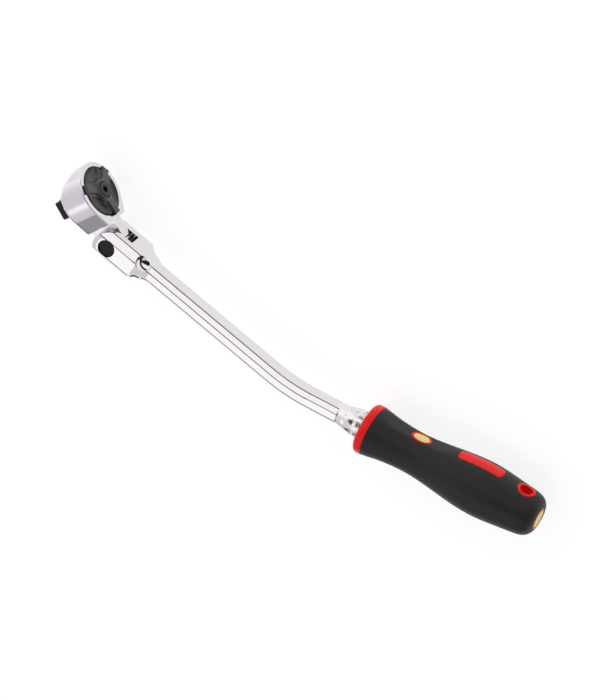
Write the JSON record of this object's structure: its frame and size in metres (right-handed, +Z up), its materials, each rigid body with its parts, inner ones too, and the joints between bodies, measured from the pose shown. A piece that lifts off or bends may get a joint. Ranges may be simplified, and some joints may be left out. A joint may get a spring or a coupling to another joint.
{
  "type": "ratchet wrench",
  "caption": "Flex-head ratchet wrench with a square drive, reversing lever, release button, cranked bar and waisted two-colour grip with a hanging hole.",
  "frame": {"origin": "on the drive axis, at the shoulder where a socket seats", "axes": "+X along the grip towards its butt, +Y towards the side the reversing lever is on, +Z up along the flex pivot as the wrench lies on its side"},
  "size_m": [0.384, 0.098, 0.042],
  "materials": {
    "chrome": "polished plate over a forging",
    "bright_steel": "ground",
    "dark_steel": "black oxide",
    "black_steel": "black phosphate, slightly oily",
    "spring_steel": "drawn wire",
    "grey_plastic": "fine moulded grain",
    "red_plastic": "smooth moulded",
    "black_rubber": "soft moulded",
    "cream_plastic": "smooth, plain"
  },
  "bodies": {
    "handle": {"handle_bar": "chrome", "pivot_bolt": "black_steel", "pivot_nut": "black_steel", "thrust_washers": "bright_steel", "flex_plunger_spring": "spring_steel", "grip_core": "red_plastic", "grip_rubber": "black_rubber", "oval_badge": "cream_plastic", "butt_badge": "cream_plastic", "tang_roll_pin": "bright_steel"},
    "head": {"head_body": "chrome", "cover_plate": "bright_steel", "lever_snap_ring": "dark_steel", "pawl_leaf_spring": "spring_steel"},
    "drive": {"drive_gear": "black_steel", "hub_seal": "black_rubber", "button_spring": "spring_steel"},
    "lever": {"reverse_lever": "grey_plastic", "shift_pin": "bright_steel", "lever_detent_ball": "bright_steel", "lever_detent_spring": "spring_steel"},
    "pawl": {"pawl": "dark_steel"},
    "release": {"release_button": "dark_steel", "release_rod": "bright_steel"},
    "ball": {"socket_ball": "bright_steel"},
    "plunger": {"flex_plunger": "bright_steel"}
  },
  "joints": [
    {"name": "flex", "type": "hinge", "parent": "handle", "child": "head", "pos_m": [0.0334, -0.01317, 0], "axis": [0, 0, 1], "range_deg": [-65, 115]},
    {"name": "drive_spin", "type": "hinge", "parent": "head", "child": "drive", "pos_m": [0.00663, 0.00827, 0], "axis": [0.6252, 0.7804, 0], "continuous": true},
    {"name": "reverse", "type": "hinge", "parent": "head", "child": "lever", "pos_m": [0.00663, 0.00827, 0], "axis": [0.6252, 0.7804, 0], "range_deg": [-20, 0]},
    {"name": "pawl_shift", "type": "hinge", "parent": "head", "child": "pawl", "pos_m": [0.00663, 0.00827, 0], "axis": [0.6252, 0.7804, 0], "range_deg": [-10, 0]},
    {"name": "release_press", "type": "slide", "parent": "drive", "child": "release", "axis": [-0.6252, -0.7804, 0], "range_m": [0, 0.0025], "stiffness_N_per_m": 400, "springref_m": -0.002, "deforming": ["button_spring"]},
    {"name": "ball_retract", "type": "slide", "parent": "drive", "child": "ball", "axis": [0, 0, -1], "range_m": [0, 0.0008]},
    {"name": "plunger_slide", "type": "slide", "parent": "handle", "child": "plunger", "axis": [0.9694, -0.2453, 0], "range_m": [0, 0.0006], "stiffness_N_per_m": 500, "springref_m": -0.001, "deforming": ["flex_plunger_spring"]}
  ],
  "couplings": [
    {"joint": "pawl_shift", "follows": "reverse", "ratio": 0.5},
    {"joint": "ball_retract", "follows": "release_press", "ratio": 0.32}
  ]
}
